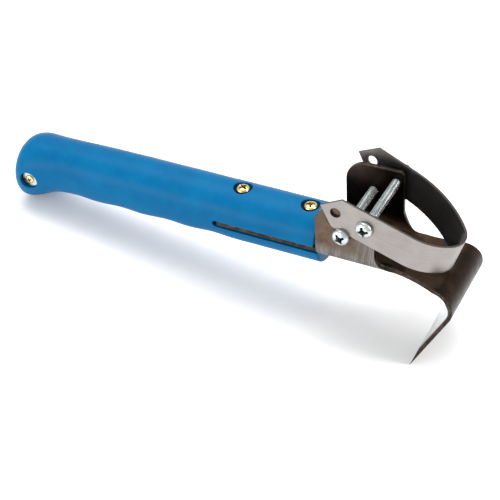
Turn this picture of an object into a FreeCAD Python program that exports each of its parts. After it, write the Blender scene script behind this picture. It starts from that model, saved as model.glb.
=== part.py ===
"""Hand strapping tensioner: a blue moulded handle, one bent steel plate that is tang,
channel and hooked blade, and a spring steel loop held on two long cross-head bolts.

Millimetres. Every piece is drawn in the tool's own frame: X along the handle's axis
towards the hook with zero at the handle's end face, Z up, Y across. At the end all
pieces are tilted together, so that the tool stands on its blade and its heel."""

import FreeCAD
import Part
import math
import os
import Sketcher

doc = FreeCAD.newDocument("strapping_tensioner")
Vector = FreeCAD.Vector

DRIVING = {
    # handle
    "grip_radius": 16.4,
    "grip_straight": 49.0,
    "grip_last": 174.0,
    "groove_pitch": 29.75,
    "groove_depth": 0.7,
    "groove_count": 4.0,
    "heel_start": 162.0,
    "heel_run": 30.0,
    "heel_drop": 9.0,
    "taper_start": 110.0,
    "taper_drop": 1.2,
    "butt_dome": 19.3,
    "butt_over_power": 2.7,
    "butt_under_power": 5.0,
    "lip": 2.6,
    "slit_depth": 61.0,
    "slit_top": 1.3,
    "slit_bottom": -2.7,
    "screw_near": -8.1,
    "screw_far": -48.8,
    "counterbore_radius": 5.4,
    "counterbore_floor": 14.4,
    "screw_hole_radius": 2.0,
    "tang_hole_radius": 2.2,
    "hole_spare": 1.0,
    "butt_recess_across": -180.5,
    "butt_recess_up": -4.0,
    "butt_recess_radius": 5.4,
    "butt_recess_floor": 14.9,
    # bent plate
    "plate": 2.5,
    "tang_half": 16.2,
    "tang_end": -58.0,
    "strip_half": 17.4,
    "channel_half": 22.0,
    "channel_bend": 9.0,
    "flange_left": 4.2,
    "flange_right": 37.8,
    "flange_top": 36.2,
    "flange_corner": 12.0,
    "flange_small_corner": 2.5,
    "flange_fillet": 10.0,
    "channel_run_out": 8.5,
    "relief": 0.4,
    "relief_run": 3.0,
    "web_skin": 0.1,
    "slope_start": 52.0,
    "slope": 7.0,
    "shoulder_radius": 11.0,
    "blade_lean": 29.0,
    "edge_across": 60.0,
    "edge_up": -54.6,
    "bevel_length": 14.0,
    "edge_land": 0.15,
    "flare_half": 21.8,
    "flare_end": 70.0,
    "flare_radius": 67.0,
    "blade_half_top": 24.0,
    "blade_half_edge": 25.2,
    "blade_side_up": -7.5,
    # loop band
    "band": 1.4,
    "band_width": 19.7,
    "band_droop": 18.5,
    "band_gap": 0.1,
    "pivot_across": 33.2,
    "pivot_up": 29.1,
    "front_reach": 24.0,
    "front_bend": 28.0,
    "front_turn": 45.0,
    "nose_bend": 13.2,
    "nose_turn": 84.0,
    "back_bend": 60.0,
    "back_turn": 43.0,
    "back_reach": 35.3,
    "tab_tip": 26.2,
    "tab_shoulder": 16.6,
    "tab_hole": 17.2,
    "tab_hole_radius": 2.9,
    # fasteners
    "clamp_across": 20.1,
    "clamp_up": 20.4,
    "bolt_radius": 2.45,
    "bolt_hole_radius": 2.6,
    "pivot_hole_radius": 2.5,
    "head_radius": 4.75,
    "head_height": 3.5,
    "clamp_length": 45.0,
    "pivot_length": 58.5,
    "nut_across": 8.0,
    "nut_height": 4.0,
    "nut_stand_off": 4.0,
    "bolt_bevel": 0.5,
    "fit_gap": 0.15,
    "washer_thick": 1.0,
    "washer_radius": 5.0,
    "cross_width": 1.1,
    "cross_span": 5.0,
    "cross_depth": 2.0,
    "pan_wall": 0.35,
    "pan_brow": 0.62,
    "pan_brow_up": 0.94,
    "pan_brow_round": 0.66,
    "pan_crown_round": 3.4,
    "wood_head_radius": 3.8,
    "wood_head_height": 2.4,
    "wood_shank_radius": 1.95,
    "wood_length": 22.0,
    "wood_point": 1.2,
    "wood_cross": 0.8,
    "butt_length": 16.0,
    "butt_head_radius": 2.6,
    "butt_head_height": 1.2,
    "butt_cross": 0.55,
    "butt_washer_radius": 5.0,
    "butt_washer_thick": 1.2,
}

STATION_STEP = 4.0
# How far a cutting outline runs past the piece that it cuts.
CLEAR = 3.0
BUTT_STEPS = (0.2, 0.38, 0.53, 0.66, 0.77, 0.86, 0.93, 0.975, 0.995)

sheet = doc.addObject("Spreadsheet::Sheet", "sizes")


class Size:
    """A number together with the sheet expression that gives it."""

    def __init__(self, value, text):
        self.value = float(value)
        self.text = text

    def __add__(self, other):
        other = size_of(other)
        return Size(self.value + other.value, f"({self.text} + {other.text})")

    def __sub__(self, other):
        other = size_of(other)
        return Size(self.value - other.value, f"({self.text} - {other.text})")

    def __mul__(self, other):
        other = size_of(other)
        return Size(self.value * other.value, f"({self.text} * {other.text})")

    def __truediv__(self, other):
        other = size_of(other)
        return Size(self.value / other.value, f"({self.text} / {other.text})")

    def __neg__(self):
        return Size(-self.value, f"(0 - {self.text})")


def size_of(value):
    return value if isinstance(value, Size) else Size(value, repr(float(value)))


def sine(angle):
    return Size(math.sin(math.radians(angle.value)), f"sin({angle.text} * 1 deg)")


def cosine(angle):
    return Size(math.cos(math.radians(angle.value)), f"cos({angle.text} * 1 deg)")


def tangent(angle):
    return Size(math.tan(math.radians(angle.value)), f"tan({angle.text} * 1 deg)")


def fill_sheet():
    """Write every driving number to the sheet and return the named sizes."""
    for row, (name, value) in enumerate(DRIVING.items(), start=1):
        sheet.set(f"A{row}", name)
        sheet.set(f"B{row}", str(value))
        sheet.setAlias(f"B{row}", name)
    doc.recompute()
    return {name: Size(value, f"sizes.{name}") for name, value in DRIVING.items()}


size = fill_sheet()
worked = doc.addObject("App::VarSet", "worked_out")


def derive(name, value):
    """Keep a worked-out size under a name of its own, bound to the sheet."""
    worked.addProperty("App::PropertyFloat", name)
    worked.setExpression(name, value.text)
    return Size(value.value, f"worked_out.{name}")


def add_body(name):
    body = doc.addObject("PartDesign::Body", name)
    body.Label = name
    return body


def add_sketch(body, name, plane, offset=0.0):
    """A sketch on one of the body's own planes, moved along the plane's normal."""
    sketch = body.newObject("Sketcher::SketchObject", f"{body.Name}_{name}")
    origin_plane = next(item for item in body.Origin.OriginFeatures if item.Role == plane)
    sketch.AttachmentSupport = (origin_plane, [""])
    sketch.MapMode = "FlatFace"
    offset = size_of(offset)
    sketch.AttachmentOffset = FreeCAD.Placement(Vector(0, 0, offset.value), FreeCAD.Rotation())
    if offset.value:
        sketch.setExpression("AttachmentOffset.Base.z", offset.text)
    return sketch


def bind(sketch, constraint, value):
    """Add a constraint whose number comes from the sheet."""
    index = sketch.addConstraint(constraint)
    sketch.setExpression(f"Constraints[{index}]", value.text)


def fix_point(sketch, geometry, end, across, up):
    across = size_of(across)
    up = size_of(up)
    bind(sketch, Sketcher.Constraint("DistanceX", -1, 1, geometry, end, across.value), across)
    bind(sketch, Sketcher.Constraint("DistanceY", -1, 1, geometry, end, up.value), up)


def add_circle(sketch, across, up, radius):
    across = size_of(across)
    up = size_of(up)
    circle = Part.Circle(Vector(across.value, up.value, 0), Vector(0, 0, 1), radius.value)
    index = sketch.addGeometry(circle)
    bind(sketch, Sketcher.Constraint("Radius", index, radius.value), radius)
    fix_point(sketch, index, 3, across, up)


def arc_between(start, end, radius, left):
    """The short arc from start to end with its centre on the left or right of the way."""
    chord = end - start
    middle = (start + end) * 0.5
    rise = math.sqrt(max(radius * radius - chord.Length * chord.Length / 4.0, 0.0))
    side = Vector(-chord.y, chord.x, 0).normalize()
    centre = middle + side * (rise if left else -rise)
    first, last = (start, end) if left else (end, start)
    first_angle = math.atan2(first.y - centre.y, first.x - centre.x)
    last_angle = math.atan2(last.y - centre.y, last.x - centre.x)
    circle = Part.Circle(centre, Vector(0, 0, 1), radius)
    return Part.ArcOfCircle(circle, first_angle, last_angle)


def add_outline(sketch, corners):
    """A closed outline. Each corner is (x, y) or (x, y, radius, side): the way to it is
    then an arc, with its centre on the given side."""
    corners = [tuple(size_of(v) if not isinstance(v, str) else v for v in c) for c in corners]
    points = [Vector(corner[0].value, corner[1].value, 0) for corner in corners]
    ends = []
    for number, corner in enumerate(corners):
        start = points[number - 1]
        end = points[number]
        if len(corner) == 4:
            left = corner[3] == "left"
            curve = arc_between(start, end, corner[2].value, left)
            index = sketch.addGeometry(curve)
            bind(sketch, Sketcher.Constraint("Radius", index, corner[2].value), corner[2])
            ends.append((index, 1, 2) if left else (index, 2, 1))
        else:
            index = sketch.addGeometry(Part.LineSegment(start, end))
            ends.append((index, 1, 2))
    for number, (index, start, end) in enumerate(ends):
        following = ends[(number + 1) % len(ends)]
        sketch.addConstraint(Sketcher.Constraint("Coincident", index, end, following[0], following[1]))
        fix_point(sketch, index, end, corners[number][0], corners[number][1])


def add_pad(body, name, sketch, length, symmetric=False, backwards=False):
    pad = body.newObject("PartDesign::Pad", f"{body.Name}_{name}")
    pad.Profile = sketch
    pad.Length = length.value
    pad.setExpression("Length", length.text)
    pad.SideType = "Symmetric" if symmetric else "One side"
    pad.Reversed = backwards
    doc.recompute()
    return pad


def add_pocket(body, name, sketch, length=None, backwards=False):
    """Cut the sketch out of the body, through everything where no length is given."""
    before = body.Shape.Volume
    pocket = body.newObject("PartDesign::Pocket", f"{body.Name}_{name}")
    pocket.Profile = sketch
    if length is None:
        pocket.Type = "ThroughAll"
        pocket.SideType = "Symmetric"
    else:
        pocket.Length = length.value
        pocket.setExpression("Length", length.text)
        pocket.Reversed = backwards
    doc.recompute()
    if body.Shape.Volume >= before - 0.01:
        raise RuntimeError(f"{pocket.Name} cuts nothing")
    return pocket


def add_revolution(body, name, corners, plane="XZ_Plane"):
    """A full turn of an outline about the sketch's vertical axis."""
    sketch = add_sketch(body, name, plane)
    add_outline(sketch, corners)
    turn = body.newObject("PartDesign::Revolution", f"{body.Name}_{name}_turn")
    turn.Profile = sketch
    turn.ReferenceAxis = (sketch, ["V_Axis"])
    turn.Angle = 360.0
    doc.recompute()
    return turn


def add_cross(body, top, span, depth, width):
    """The cross recess in a screw's head: two slots at right angles, under height top."""
    clear = 0.5
    for number, (half_x, half_y) in enumerate(((span / 2, width / 2), (width / 2, span / 2))):
        sketch = add_sketch(body, f"cross_{number}", "XY_Plane", top + clear)
        add_outline(sketch, ((-half_x, -half_y), (half_x, -half_y), (half_x, half_y), (-half_x, half_y)))
        add_pocket(body, f"cross_{number}_cut", sketch, depth + clear)


def rounding(share, power):
    """How much of the full height is left this far into the rounded butt end."""
    value = (1.0 - share**power.value) ** (1.0 / power.value)
    return Size(value, f"pow(1 - pow({share}; {power.text}); 1 / {power.text})")


def grip_over(place):
    """Height of the grip's back above the axis, at a place this far from the end face."""
    if place.value < size["taper_start"].value:
        return size["grip_radius"]
    part = (place - size["taper_start"]) / (size["grip_last"] - size["taper_start"])
    return size["grip_radius"] - size["taper_drop"] * part * part


def grip_under(place):
    """Depth of the grip's belly under the axis: finger grooves, and then the heel."""
    depth = size["grip_radius"]
    turn = (place - size["grip_straight"]) / size["groove_pitch"]
    if turn.value < size["groove_count"].value:
        wave = (size_of(1.0) - cosine(turn * 360.0)) / 2
        depth = depth - size["groove_depth"] * wave
    if place.value > size["heel_start"].value:
        rise = (place - size["heel_start"]) / size["heel_run"]
        depth = depth + size["heel_drop"] * (size_of(1.0) - cosine(rise * 180.0)) / 2
    return depth


def make_handle():
    body = add_body("handle")
    lip = size["lip"]
    sketch = add_sketch(body, "straight", "YZ_Plane", -size["grip_straight"])
    add_circle(sketch, 0.0, 0.0, size["grip_radius"])
    add_pad(body, "straight_pad", sketch, size["grip_straight"] + lip)

    # The shaped part goes through round sections, and then a dome closes the butt.
    count = round((size["grip_last"].value - size["grip_straight"].value) / STATION_STEP)
    sections = []
    for number in range(count + 1):
        share = (size["grip_last"] - size["grip_straight"]) * (number / count)
        place = size["grip_straight"] + share
        over = grip_over(place)
        under = grip_under(place)
        sketch = add_sketch(body, f"section_{number}", "YZ_Plane", -place)
        add_circle(sketch, 0.0, (over - under) / 2, (over + under) / 2)
        sections.append(sketch)
    for number, share in enumerate(BUTT_STEPS):
        place = size["grip_last"] + size["butt_dome"] * share
        top = over * rounding(share, size["butt_over_power"])
        belly = grip_under(place) * rounding(share, size["butt_under_power"])
        sketch = add_sketch(body, f"dome_{number}", "YZ_Plane", -place)
        add_circle(sketch, 0.0, (top - belly) / 2, (top + belly) / 2)
        sections.append(sketch)
    loft = body.newObject("PartDesign::AdditiveLoft", "handle_loft")
    loft.Profile = sections[0]
    loft.Sections = sections[1:]
    loft.Ruled = True
    doc.recompute()

    # The slit for the tang. Above it the handle stops short of the lip below.
    above = size["grip_radius"] + CLEAR
    sketch = add_sketch(body, "slit", "XZ_Plane")
    height = size["slit_top"] - size["slit_bottom"]
    inner = -size["slit_depth"] + height / 2
    add_outline(
        sketch,
        (
            (lip + CLEAR, size["slit_bottom"]),
            (lip + CLEAR, above),
            (0.0, above),
            (0.0, size["slit_top"]),
            (inner, size["slit_top"]),
            (-size["slit_depth"], size["slit_top"] - height / 2, height / 2, "left"),
            (inner, size["slit_bottom"], height / 2, "left"),
        ),
    )
    add_pocket(body, "slit_cut", sketch)

    for name in ("near", "far"):
        across = size[f"screw_{name}"]
        sketch = add_sketch(body, f"counterbore_{name}", "XY_Plane", size["counterbore_floor"])
        add_circle(sketch, across, 0.0, size["counterbore_radius"])
        add_pocket(body, f"counterbore_{name}_cut", sketch, size["grip_radius"] / 2, True)
        sketch = add_sketch(body, f"screw_hole_{name}", "XY_Plane", size["counterbore_floor"])
        add_circle(sketch, across, 0.0, size["screw_hole_radius"])
        add_pocket(body, f"screw_hole_{name}_cut", sketch, size["wood_length"] + size["hole_spare"])

    sketch = add_sketch(body, "butt_recess", "XZ_Plane", size["butt_recess_floor"])
    add_circle(sketch, size["butt_recess_across"], size["butt_recess_up"], size["butt_recess_radius"])
    add_pocket(body, "butt_recess_cut", sketch, size["grip_radius"] / 2, True)
    sketch = add_sketch(body, "butt_hole", "XZ_Plane", size["butt_recess_floor"])
    add_circle(sketch, size["butt_recess_across"], size["butt_recess_up"], size["screw_hole_radius"])
    add_pocket(body, "butt_hole_cut", sketch, size["butt_length"] + size["hole_spare"])
    return body


def strip_corners():
    """The plate's side outline: tang, web, rounded shoulder and blade with its bevel."""
    plate = size["plate"]
    half = plate / 2
    slope = size["slope"]
    lean = size["blade_lean"]
    radius = size["shoulder_radius"]
    # Where the web's slope would meet the blade's face, measured up the blade.
    run = size["edge_across"] - size["slope_start"]
    rise = half - tangent(slope) * run - size["edge_up"]
    reach = derive("blade_to_corner", rise / (cosine(lean) + tangent(slope) * sine(lean)))
    corner_x = derive("corner_x", size["edge_across"] + reach * sine(lean))
    corner_z = derive("corner_z", size["edge_up"] + reach * cosine(lean))
    half_turn = derive("shoulder_half_turn", (Size(90.0, "90") - slope + lean) / 2)
    setback = derive("shoulder_setback", radius * tangent(half_turn))
    bend_x = derive("bend_x", corner_x - setback * cosine(slope))
    bend_z = derive("bend_z", corner_z + setback * sine(slope))
    under_x = derive("under_x", corner_x - setback * sine(lean))
    under_z = derive("under_z", corner_z - setback * cosine(lean))
    inner_radius = radius - plate
    bevel = size["bevel_length"]
    land = size["edge_land"]
    return (
        (size["tang_end"], half),
        (size["slope_start"], half),
        (bend_x, bend_z),
        (under_x, under_z, radius, "right"),
        (size["edge_across"], size["edge_up"]),
        (size["edge_across"] - land * cosine(lean), size["edge_up"] + land * sine(lean)),
        (
            size["edge_across"] + bevel * sine(lean) - plate * cosine(lean),
            size["edge_up"] + bevel * cosine(lean) + plate * sine(lean),
        ),
        (under_x - plate * cosine(lean), under_z + plate * sine(lean)),
        (bend_x - plate * sine(slope), bend_z - plate * cosine(slope), inner_radius, "left"),
        (size["slope_start"] - plate * tangent(slope / 2), -half),
        (size["tang_end"], -half),
    )


def make_hook_frame():
    body = add_body("hook_frame")
    plate = size["plate"]
    half = plate / 2
    past = size["blade_half_edge"] + CLEAR
    beyond = size["edge_across"] - size["edge_up"] * sine(size["blade_lean"])

    sketch = add_sketch(body, "side", "XZ_Plane")
    add_outline(sketch, strip_corners())
    add_pad(body, "strip", sketch, size["blade_half_edge"] * 2, symmetric=True)

    # Plan of the tang and web: flush in the handle, narrow between the flanges, then flared.
    bend_start = size["channel_half"] - size["channel_bend"]
    for number, side in enumerate((1.0, -1.0)):
        sketch = add_sketch(body, f"plan_{number}", "XY_Plane", plate)
        add_outline(
            sketch,
            (
                (size["tang_end"] - CLEAR, past * side),
                (size["tang_end"] - CLEAR, size["tang_half"] * side),
                (size["flange_left"] - size["relief_run"] / 2, size["tang_half"] * side),
                (size["flange_left"], (bend_start + size["relief"]) * side),
                (size["flange_right"] + size["relief"] * 2, (bend_start + size["relief"]) * side),
                (size["flange_right"] + size["relief_run"], size["strip_half"] * side),
                (size["flange_right"] + size["channel_run_out"], size["strip_half"] * side),
                (
                    size["flare_end"],
                    size["flare_half"] * side,
                    size["flare_radius"],
                    "left" if side > 0 else "right",
                ),
                (beyond, size["blade_half_top"] * side),
                (beyond, past * side),
            ),
        )
        add_pocket(body, f"plan_{number}_cut", sketch, plate - size["blade_side_up"] + half)
        sketch = add_sketch(body, f"blade_side_{number}", "YZ_Plane", size["slope_start"])
        add_outline(
            sketch,
            (
                (size["blade_half_top"] * side, size["blade_side_up"]),
                (size["blade_half_edge"] * side, size["edge_up"]),
                (size["blade_half_edge"] * side, size["edge_up"] - CLEAR),
                (past * side, size["edge_up"] - CLEAR),
                (past * side, size["blade_side_up"]),
            ),
        )
        add_pocket(body, f"blade_side_{number}_cut", sketch, size["slope_start"], True)

    # The channel: web and two flanges round large bends.
    outer = size["channel_half"]
    inner = outer - plate
    top = size["flange_top"] + CLEAR
    bend = size["channel_bend"]
    bend_top = bend - half
    sketch = add_sketch(body, "channel", "YZ_Plane", size["flange_left"])
    add_outline(
        sketch,
        (
            (-outer, top),
            (-outer, bend_top),
            (-bend_start, -half, bend, "left"),
            (bend_start, -half),
            (outer, bend_top, bend, "left"),
            (outer, top),
            (inner, top),
            (inner, bend_top),
            (bend_start, half, bend - plate, "right"),
            (-bend_start, half),
            (-inner, bend_top, bend - plate, "right"),
            (-inner, top),
        ),
    )
    run = size["flange_right"] - size["flange_left"] + size["channel_run_out"]
    add_pad(body, "channel_pad", sketch, run)

    # The flanges' outline: everything above and outside it goes.
    corner = size["flange_corner"]
    small = size["flange_small_corner"]
    fillet = size["flange_fillet"]
    left = size["flange_left"]
    right = size["flange_right"]
    peak = size["flange_top"]
    foot = half + size["web_skin"]
    sketch = add_sketch(body, "flange", "XZ_Plane")
    add_outline(
        sketch,
        (
            (left - CLEAR, peak + CLEAR * 2),
            (left - CLEAR, peak - corner),
            (left, peak - corner),
            (left + corner, peak, corner, "right"),
            (right - small, peak),
            (right, peak - small, small, "right"),
            (right, foot + fillet),
            (right + fillet, foot, fillet, "left"),
            (right + fillet + CLEAR, foot),
            (right + fillet + CLEAR, peak + CLEAR * 2),
        ),
    )
    add_pocket(body, "flange_cut", sketch)

    sketch = add_sketch(body, "bolt_holes", "XZ_Plane")
    add_circle(sketch, size["clamp_across"], size["clamp_up"], size["bolt_hole_radius"])
    add_circle(sketch, size["pivot_across"], size["pivot_up"], size["bolt_hole_radius"])
    add_pocket(body, "bolt_holes_cut", sketch)

    sketch = add_sketch(body, "tang_holes", "XY_Plane")
    add_circle(sketch, size["screw_near"], 0.0, size["tang_hole_radius"])
    add_circle(sketch, size["screw_far"], 0.0, size["tang_hole_radius"])
    add_pocket(body, "tang_holes_cut", sketch)
    return body


def band_corners():
    """The loop seen along its width: straight front leg, nose and slanting back leg.
    The outer side is walked first, and the inner side comes back along the same bends."""
    band = size["band"]
    front = -(size["channel_half"] + size["band_gap"] + band)
    turns = [size["front_turn"], size["nose_turn"], size["back_turn"]]
    bends = [size["front_bend"], size["nose_bend"], size["back_bend"]]
    names = ("front", "nose", "back")
    heading = Size(0.0, "0")
    x = size["front_reach"]
    y = front
    outer = [(-size["tab_tip"], front), (x, y)]
    inner = [(-size["tab_tip"], front + band), (x, y + band)]
    for name, turn, bend in zip(names, turns, bends):
        after = derive(f"{name}_heading", heading + turn)
        x = derive(f"{name}_x", x + bend * (sine(after) - sine(heading)))
        y = derive(f"{name}_y", y + bend * (cosine(heading) - cosine(after)))
        heading = after
        outer.append((x, y, bend, "left"))
        inner.append((x - band * sine(after), y + band * cosine(after), bend - band))
    reach = size["back_reach"]
    end = (x + reach * cosine(heading), y + reach * sine(heading))
    outer.append(end)
    inner.append((end[0] - band * sine(heading), end[1] + band * cosine(heading)))
    back_way = [inner[-1][:2], inner[-2][:2]]
    for number in (4, 3, 2):
        back_way.append((inner[number - 1][0], inner[number - 1][1], inner[number][2], "right"))
    back_way.append(inner[0])
    return outer + back_way


def make_loop_band():
    body = add_body("loop_band")
    half = size["band_width"] / 2
    sketch = add_sketch(body, "loop", "XY_Plane")
    add_outline(sketch, band_corners())
    add_pad(body, "loop_pad", sketch, size["band_width"], symmetric=True)

    # Both ends are cut to a point.
    past = size["tab_tip"] + CLEAR
    tip = size["tab_tip"]
    for number, side in enumerate((1.0, -1.0)):
        sketch = add_sketch(body, f"point_{number}", "XZ_Plane")
        add_outline(
            sketch,
            (
                (-tip, 0.0),
                (-size["tab_shoulder"], half * side),
                (-size["tab_shoulder"], (half + CLEAR) * side),
                (-past, (half + CLEAR) * side),
                (-past, 0.0),
            ),
        )
        add_pocket(body, f"point_{number}_cut", sketch)

    sketch = add_sketch(body, "holes", "XZ_Plane")
    add_circle(sketch, 0.0, 0.0, size["pivot_hole_radius"])
    add_circle(sketch, -size["tab_hole"], 0.0, size["tab_hole_radius"])
    add_pocket(body, "holes_cut", sketch)

    rotation = FreeCAD.Rotation(Vector(0, 1, 0), size["band_droop"].value)
    pivot = Vector(size["pivot_across"].value, 0, size["pivot_up"].value)
    body.Placement = FreeCAD.Placement(pivot, rotation)
    return body


def pan_corners(head_radius, head_height, shank_radius, length, tip_bevel):
    """Half section of a pan head and its shank: Z is the axis, the head is above zero."""
    brow = head_radius * size["pan_brow"]
    brow_up = head_height * size["pan_brow_up"]
    return (
        (0.0, -length),
        (shank_radius - tip_bevel, -length),
        (shank_radius, -length + tip_bevel),
        (shank_radius, 0.0),
        (head_radius, 0.0),
        (head_radius, head_height * size["pan_wall"]),
        (brow, brow_up, head_radius * size["pan_brow_round"], "left"),
        (0.0, head_height, head_radius * size["pan_crown_round"], "left"),
    )


def make_bolt(name, across, up, length):
    """A long cross-head bolt that comes in from the front, its head on the loop's band."""
    body = add_body(name)
    bevel = size["bolt_bevel"]
    corners = pan_corners(size["head_radius"], size["head_height"], size["bolt_radius"], length, bevel)
    add_revolution(body, "section", corners)
    add_cross(body, size["head_height"], size["cross_span"], size["cross_depth"], size["cross_width"])
    seat = size["channel_half"] + size["band_gap"] * 2 + size["band"]
    # The head looks towards the front, which is minus Y.
    turn = FreeCAD.Rotation(Vector(1, 0, 0), 90.0)
    body.Placement = FreeCAD.Placement(Vector(across.value, -seat.value, up.value), turn)
    return body


def make_nut(name, across, start, up):
    """A hex nut on one of the bolts: a hexagon with its hole."""
    body = add_body(name)
    sketch = add_sketch(body, "hexagon", "XZ_Plane")
    corner = size["nut_across"] / 2 / cosine(Size(30.0, "30"))
    corners = []
    for step in range(6):
        angle = Size(60.0 * step, str(60.0 * step))
        corners.append((corner * cosine(angle), corner * sine(angle)))
    add_outline(sketch, corners)
    add_circle(sketch, 0.0, 0.0, size["bolt_radius"] + 0.02)
    add_pad(body, "pad", sketch, size["nut_height"], backwards=True)
    body.Placement = FreeCAD.Placement(Vector(across.value, start.value, up.value), FreeCAD.Rotation())
    return body


def make_washer(name, across, start, up, outer, hole, thick):
    body = add_body(name)
    sketch = add_sketch(body, "ring", "XZ_Plane")
    add_circle(sketch, 0.0, 0.0, outer)
    add_circle(sketch, 0.0, 0.0, hole)
    add_pad(body, "pad", sketch, thick, backwards=True)
    body.Placement = FreeCAD.Placement(Vector(across.value, start.value, up.value), FreeCAD.Rotation())
    return body


def make_grip_screw(name, head_radius, head, length, share, place, turn):
    """A tapping screw with a pan head, used in the handle; share scales its cross."""
    body = add_body(name)
    corners = pan_corners(head_radius, head, size["wood_shank_radius"], length, size["wood_point"])
    add_revolution(body, "section", corners)
    span = size["cross_span"] * share
    add_cross(body, head, span, size["cross_depth"] * share, size["cross_width"] * share)
    body.Placement = FreeCAD.Placement(place, turn)
    return body


def make_pieces():
    pieces = [make_handle(), make_hook_frame(), make_loop_band()]
    pieces.append(make_bolt("clamp_bolt", size["clamp_across"], size["clamp_up"], size["clamp_length"]))
    pieces.append(make_bolt("pivot_bolt", size["pivot_across"], size["pivot_up"], size["pivot_length"]))

    # A nut inside the front flange holds each bolt; the pivot bolt has one outside as well.
    inside_front = size["plate"] - size["channel_half"]
    outside_back = size["channel_half"] + size["nut_stand_off"]
    hole = size["bolt_radius"] + size["fit_gap"]
    thick = size["washer_thick"]
    pieces.append(make_nut("clamp_nut", size["clamp_across"], inside_front, size["clamp_up"]))
    pieces.append(make_nut("pivot_inner_nut", size["pivot_across"], inside_front, size["pivot_up"]))
    washer_radius = size["washer_radius"]
    pivot = (size["pivot_across"], outside_back, size["pivot_up"])
    pieces.append(make_washer("pivot_washer", *pivot, washer_radius, hole, thick))
    pieces.append(make_nut("pivot_nut", size["pivot_across"], outside_back + thick, size["pivot_up"]))

    upright = FreeCAD.Rotation()
    for name in ("near", "far"):
        place = Vector(size[f"screw_{name}"].value, 0, size["counterbore_floor"].value)
        head = (size["wood_head_radius"], size["wood_head_height"], size["wood_length"])
        pieces.append(make_grip_screw(f"tang_screw_{name}", *head, size["wood_cross"], place, upright))

    # The washer lies on the recess floor, and the screw's head on the washer.
    thick = size["butt_washer_thick"]
    seat = -size["butt_recess_floor"] - thick
    across = size["butt_recess_across"]
    up = size["butt_recess_up"]
    washer_radius = size["butt_washer_radius"]
    hole = size["wood_shank_radius"] + size["fit_gap"]
    pieces.append(make_washer("butt_washer", across, seat, up, washer_radius, hole, thick))
    forward = FreeCAD.Rotation(Vector(1, 0, 0), 90.0)
    place = Vector(across.value, seat.value, up.value)
    head = (size["butt_head_radius"], size["butt_head_height"], size["butt_length"])
    pieces.append(make_grip_screw("butt_screw", *head, size["butt_cross"], place, forward))
    return pieces


def stand_on_floor(pieces):
    """Tilt the tool until blade and heel touch the floor, then put the origin under the
    middle of its box."""
    handle = next(piece for piece in pieces if piece.Label == "handle")
    frame = next(piece for piece in pieces if piece.Label == "hook_frame")
    own = {piece.Name: piece.Placement for piece in pieces}
    low_angle = 0.0
    high_angle = 20.0
    for _ in range(24):
        angle = (low_angle + high_angle) / 2
        tilt = FreeCAD.Placement(Vector(), FreeCAD.Rotation(Vector(0, 1, 0), -angle))
        heel = handle.Shape.transformed(tilt.toMatrix()).optimalBoundingBox().ZMin
        edge = frame.Shape.transformed(tilt.toMatrix()).optimalBoundingBox().ZMin
        if heel > edge:
            low_angle = angle
        else:
            high_angle = angle
    for piece in pieces:
        piece.Placement = tilt.multiply(own[piece.Name])
    doc.recompute()
    box = FreeCAD.BoundBox()
    for piece in pieces:
        box.add(piece.Shape.optimalBoundingBox())
    shift = FreeCAD.Placement(Vector(-box.Center.x, -box.Center.y, -box.ZMin), FreeCAD.Rotation())
    for piece in pieces:
        piece.Placement = shift.multiply(piece.Placement)
    doc.recompute()
    print(f"tilt {angle:.4f} degrees, shift {shift.Base.x:.3f} {shift.Base.y:.3f} {shift.Base.z:.3f}")
    print(f"box {box.XLength:.1f} x {box.YLength:.1f} x {box.ZLength:.1f}")


def check(pieces):
    for item in doc.Objects:
        if "Invalid" in item.State or "Error" in item.State:
            raise RuntimeError(f"{item.Name} failed: {item.State}")
    for piece in pieces:
        if piece.Shape.isNull() or not piece.Shape.isValid():
            raise RuntimeError(f"{piece.Label} has a bad shape")


pieces = make_pieces()
stand_on_floor(pieces)
check(pieces)
os.makedirs("parts", exist_ok=True)
for piece in pieces:
    piece.Shape.exportStep(f"parts/{piece.Label}.step")
    print(piece.Label, len(piece.Shape.Solids), f"{piece.Shape.Volume:.0f} mm3")
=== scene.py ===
"""Looks of the hand strapping tensioner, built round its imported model.

Metres, in the row frame. Shapes are drawn in the tool's own frame (X along the handle's
axis towards the hook, zero at the handle's end face, Z up) in millimetres, and TOOL turns
that into the row frame."""

import math

import bmesh
import bpy
from mathutils import Matrix, Vector


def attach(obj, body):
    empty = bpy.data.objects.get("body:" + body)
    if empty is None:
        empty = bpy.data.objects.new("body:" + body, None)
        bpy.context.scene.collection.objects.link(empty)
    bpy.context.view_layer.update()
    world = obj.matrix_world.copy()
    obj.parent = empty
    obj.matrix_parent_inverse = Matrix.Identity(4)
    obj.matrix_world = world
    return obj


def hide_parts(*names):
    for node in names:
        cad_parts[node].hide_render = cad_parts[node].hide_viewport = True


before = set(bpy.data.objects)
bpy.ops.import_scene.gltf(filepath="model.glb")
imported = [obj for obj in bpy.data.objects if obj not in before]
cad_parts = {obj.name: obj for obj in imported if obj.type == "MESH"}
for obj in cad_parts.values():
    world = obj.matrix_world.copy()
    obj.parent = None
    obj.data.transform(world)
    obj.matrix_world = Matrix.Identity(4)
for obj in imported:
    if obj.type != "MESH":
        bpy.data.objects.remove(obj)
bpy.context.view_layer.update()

MM = 0.001

# How the tool stands in the row frame: tilted up at the hook, then moved.
TILT = math.radians(7.0511)
SHIFT = Vector((54.608, -3.901, 46.822))
TOOL = (
    Matrix.Scale(MM, 4)
    @ Matrix.Translation(SHIFT)
    @ Matrix.Rotation(-TILT, 4, "Y")
)

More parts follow.
